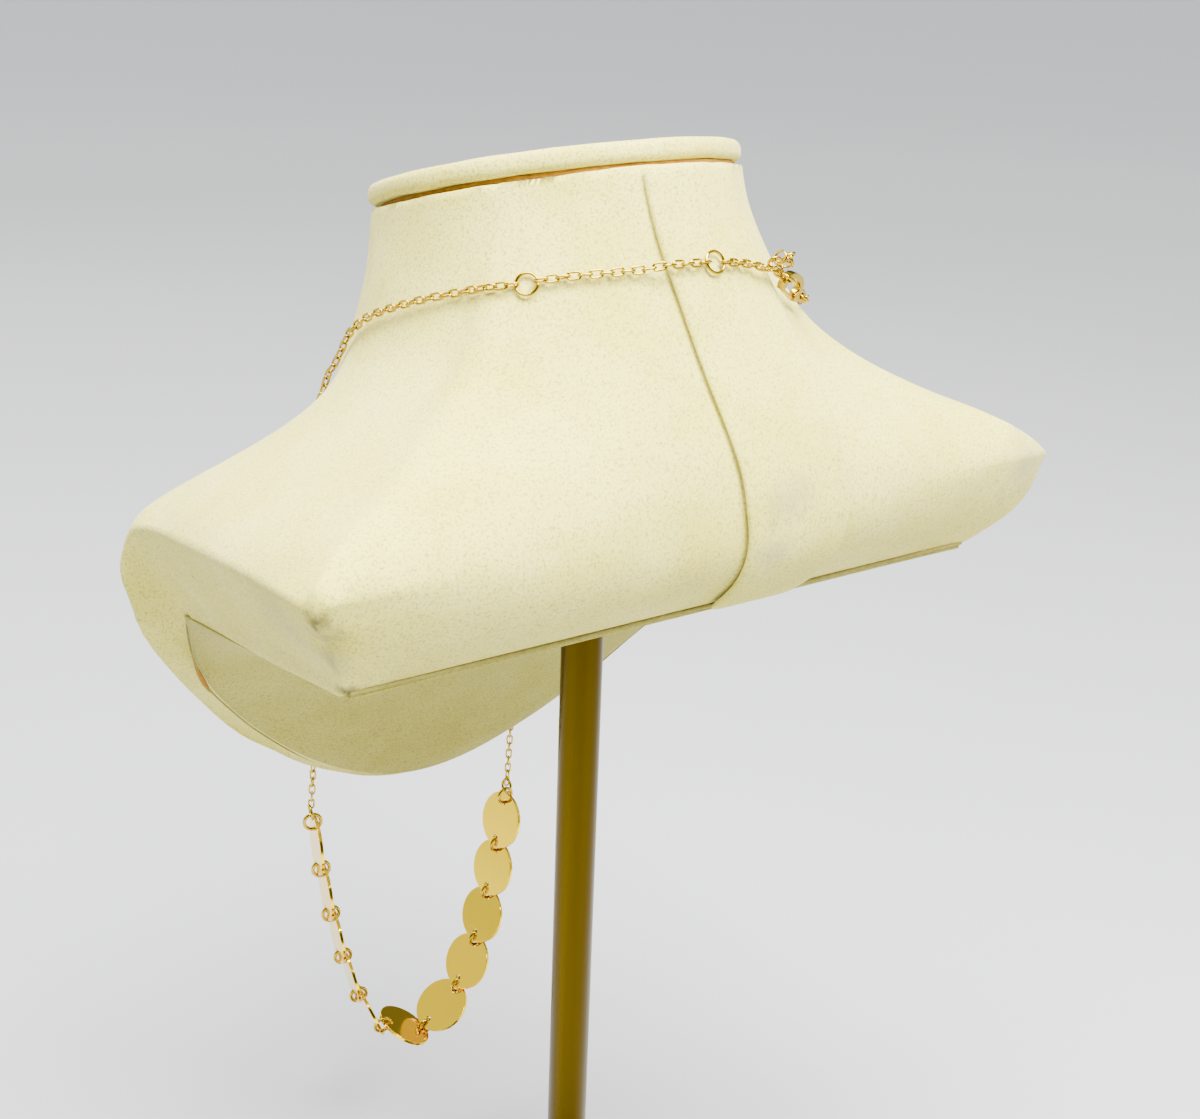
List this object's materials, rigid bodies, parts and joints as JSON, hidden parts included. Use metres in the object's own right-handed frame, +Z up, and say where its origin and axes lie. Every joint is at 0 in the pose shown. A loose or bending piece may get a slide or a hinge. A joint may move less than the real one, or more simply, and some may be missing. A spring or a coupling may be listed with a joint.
{
  "type": "disc pendant necklace on neck bust stand",
  "caption": "Gold necklace with a hanging row of round discs on fine chain, on a padded neck bust with a pole and round foot.",
  "frame": {"origin": "centre of the foot's underside, on the pole's axis", "axes": "+Z up, -Y the way the chest faces, +X its left shoulder"},
  "size_m": [0.1804, 0.1359, 0.3108],
  "materials": {
    "suede": "cream microsuede",
    "stand_brass": "brushed",
    "gold": "polished gold plate"
  },
  "bodies": {
    "necklace_and_stand": {"back_band": "suede", "base_plate": "stand_brass", "bust_body": "suede", "chain_extender": "gold", "chain_far": "gold", "chain_near": "gold", "chain_to_clasp": "gold", "clasp_body": "gold", "clasp_jump_ring": "gold", "clasp_ring": "gold", "disc_01": "gold", "disc_02": "gold", "disc_03": "gold", "disc_04": "gold", "disc_05": "gold", "disc_06": "gold", "disc_07": "gold", "disc_08": "gold", "disc_09": "gold", "disc_10": "gold", "disc_11": "gold", "end_ring_far": "gold", "end_ring_near": "gold", "extender_ring_1": "gold", "extender_ring_2": "gold", "extender_tail": "gold", "jump_ring_01": "gold", "jump_ring_02": "gold", "jump_ring_03": "gold", "jump_ring_04": "gold", "jump_ring_05": "gold", "jump_ring_06": "gold", "jump_ring_07": "gold", "jump_ring_08": "gold", "jump_ring_09": "gold", "jump_ring_10": "gold", "jump_ring_11": "gold", "jump_ring_12": "gold", "neck_cap": "suede", "pole": "stand_brass", "underside_panel": "suede"},
    "lever": {"clasp_lever": "gold"}
  },
  "joints": [
    {"name": "lever_hinge", "type": "hinge", "parent": "necklace_and_stand", "child": "lever", "pos_m": [-0.02849, 0.02866, 0.27883], "axis": [0.2864, -0.9213, 0.2631], "range_deg": [0, 12], "stiffness_Nm_per_rad": 0.0004, "springref_deg": -11.46}
  ]
}
